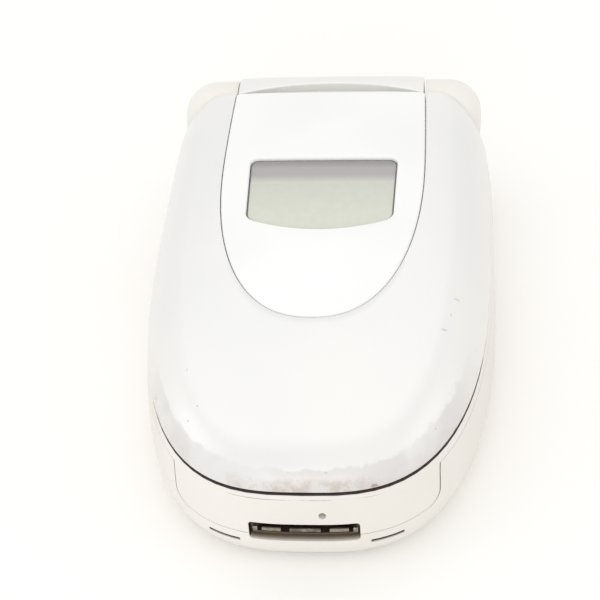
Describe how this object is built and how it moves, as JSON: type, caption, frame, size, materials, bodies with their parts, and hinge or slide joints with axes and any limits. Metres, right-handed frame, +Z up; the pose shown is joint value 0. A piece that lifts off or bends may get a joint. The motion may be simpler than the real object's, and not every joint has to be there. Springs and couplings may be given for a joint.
{
  "type": "flip phone",
  "caption": "Closed clamshell mobile phone with a pearl silver lid, a white U-shaped insert with an outer display window, and an open socket in the base.",
  "frame": {"origin": "middle of the back face, on the surface that the closed phone lies on", "axes": "+X across the phone to its right, +Y from the socket end to the hinge end, +Z up through the closed lid"},
  "size_m": [0.0492, 0.081, 0.023],
  "materials": {
    "lid_paint": "satin",
    "insert_plastic": "gloss",
    "clear_window": "gloss",
    "outer_lcd": "satin",
    "dark_window": "gloss",
    "inner_lcd": "satin",
    "base_plastic": "satin",
    "board": "matte",
    "steel": "satin",
    "contacts": "gloss",
    "rubber": "matte",
    "dark_plastic": "matte",
    "flex": "satin",
    "sheet": "matte",
    "key_plastic": "satin"
  },
  "bodies": {
    "base": {"hinge_shaft": "steel", "hinge_bush": "steel", "front_housing": "base_plastic", "rear_housing": "base_plastic", "battery": "dark_plastic", "battery_contacts": "contacts", "main_board": "board", "board_shields": "steel", "dome_sheet": "sheet", "system_connector": "dark_plastic", "connector_contacts": "contacts", "sim_holder": "steel", "microphone": "steel", "ringer": "dark_plastic", "vibration_motor": "steel", "antenna_carrier": "sheet", "antenna_plate": "contacts", "volume_switches": "steel", "base_screws": "steel", "screw_plugs": "rubber", "test_port_plug": "rubber"},
    "lid": {"lid_outer_housing": "lid_paint", "lid_insert": "insert_plastic", "outer_window": "clear_window", "outer_display": "outer_lcd", "lid_inner_housing": "lid_paint", "inner_window": "dark_window", "inner_display": "inner_lcd", "lid_board": "board", "earpiece": "dark_plastic", "lid_magnet": "steel", "lid_screws": "steel", "lid_screw_plugs": "rubber", "lid_bumpers": "rubber", "lid_flex": "flex", "hinge_cartridge": "steel"},
    "battery_cover": {"battery_cover": "base_plastic"},
    "motor_weight": {"motor_weight": "steel"},
    "volume_rocker": {"volume_rocker": "base_plastic"},
    "key_1": {"key_1": "key_plastic"},
    "key_2": {"key_2": "key_plastic"},
    "key_3": {"key_3": "key_plastic"},
    "key_4": {"key_4": "key_plastic"},
    "key_5": {"key_5": "key_plastic"},
    "key_6": {"key_6": "key_plastic"},
    "key_7": {"key_7": "key_plastic"},
    "key_8": {"key_8": "key_plastic"},
    "key_9": {"key_9": "key_plastic"},
    "key_star": {"key_star": "key_plastic"},
    "key_0": {"key_0": "key_plastic"},
    "key_hash": {"key_hash": "key_plastic"},
    "soft_key_left": {"soft_key_left": "key_plastic"},
    "soft_key_right": {"soft_key_right": "key_plastic"},
    "send_key": {"send_key": "key_plastic"},
    "end_key": {"end_key": "key_plastic"},
    "clear_key": {"clear_key": "key_plastic"},
    "navigation_ring": {"navigation_ring": "key_plastic"},
    "centre_key": {"centre_key": "key_plastic"}
  },
  "joints": [
    {"name": "lid_hinge", "type": "hinge", "parent": "base", "child": "lid", "pos_m": [0, 0.0331, 0.0164], "axis": [-1, 0, 0], "range_deg": [0, 150]},
    {"name": "cover_slide", "type": "slide", "parent": "base", "child": "battery_cover", "axis": [0, -1, 0], "range_m": [0, 0.056]},
    {"name": "motor_shaft", "type": "hinge", "parent": "base", "child": "motor_weight", "pos_m": [-0.014, 0.023, 0.0043], "axis": [1, 0, 0], "continuous": true},
    {"name": "volume_pivot", "type": "hinge", "parent": "base", "child": "volume_rocker", "pos_m": [-0.0215, 0.015, 0.007], "axis": [0, 0, 1], "range_deg": [-1.5, 1.5], "stiffness_Nm_per_rad": 0.2},
    {"name": "key_1_press", "type": "slide", "parent": "base", "child": "key_1", "axis": [0, 0, -1], "range_m": [0, 0.0003], "stiffness_N_per_m": 400},
    {"name": "key_2_press", "type": "slide", "parent": "base", "child": "key_2", "axis": [0, 0, -1], "range_m": [0, 0.0003], "stiffness_N_per_m": 400},
    {"name": "key_3_press", "type": "slide", "parent": "base", "child": "key_3", "axis": [0, 0, -1], "range_m": [0, 0.0003], "stiffness_N_per_m": 400},
    {"name": "key_4_press", "type": "slide", "parent": "base", "child": "key_4", "axis": [0, 0, -1], "range_m": [0, 0.0003], "stiffness_N_per_m": 400},
    {"name": "key_5_press", "type": "slide", "parent": "base", "child": "key_5", "axis": [0, 0, -1], "range_m": [0, 0.0003], "stiffness_N_per_m": 400},
    {"name": "key_6_press", "type": "slide", "parent": "base", "child": "key_6", "axis": [0, 0, -1], "range_m": [0, 0.0003], "stiffness_N_per_m": 400},
    {"name": "key_7_press", "type": "slide", "parent": "base", "child": "key_7", "axis": [0, 0, -1], "range_m": [0, 0.0003], "stiffness_N_per_m": 400},
    {"name": "key_8_press", "type": "slide", "parent": "base", "child": "key_8", "axis": [0, 0, -1], "range_m": [0, 0.0003], "stiffness_N_per_m": 400},
    {"name": "key_9_press", "type": "slide", "parent": "base", "child": "key_9", "axis": [0, 0, -1], "range_m": [0, 0.0003], "stiffness_N_per_m": 400},
    {"name": "key_star_press", "type": "slide", "parent": "base", "child": "key_star", "axis": [0, 0, -1], "range_m": [0, 0.0003], "stiffness_N_per_m": 400},
    {"name": "key_0_press", "type": "slide", "parent": "base", "child": "key_0", "axis": [0, 0, -1], "range_m": [0, 0.0003], "stiffness_N_per_m": 400},
    {"name": "key_hash_press", "type": "slide", "parent": "base", "child": "key_hash", "axis": [0, 0, -1], "range_m": [0, 0.0003], "stiffness_N_per_m": 400},
    {"name": "soft_key_left_press", "type": "slide", "parent": "base", "child": "soft_key_left", "axis": [0, 0, -1], "range_m": [0, 0.0003], "stiffness_N_per_m": 400},
    {"name": "soft_key_right_press", "type": "slide", "parent": "base", "child": "soft_key_right", "axis": [0, 0, -1], "range_m": [0, 0.0003], "stiffness_N_per_m": 400},
    {"name": "send_key_press", "type": "slide", "parent": "base", "child": "send_key", "axis": [0, 0, -1], "range_m": [0, 0.0003], "stiffness_N_per_m": 400},
    {"name": "end_key_press", "type": "slide", "parent": "base", "child": "end_key", "axis": [0, 0, -1], "range_m": [0, 0.0003], "stiffness_N_per_m": 400},
    {"name": "clear_key_press", "type": "slide", "parent": "base", "child": "clear_key", "axis": [0, 0, -1], "range_m": [0, 0.0003], "stiffness_N_per_m": 400},
    {"name": "navigation_ring_press", "type": "slide", "parent": "base", "child": "navigation_ring", "axis": [0, 0, -1], "range_m": [0, 0.0003], "stiffness_N_per_m": 400},
    {"name": "centre_key_press", "type": "slide", "parent": "base", "child": "centre_key", "axis": [0, 0, -1], "range_m": [0, 0.0003], "stiffness_N_per_m": 400}
  ]
}
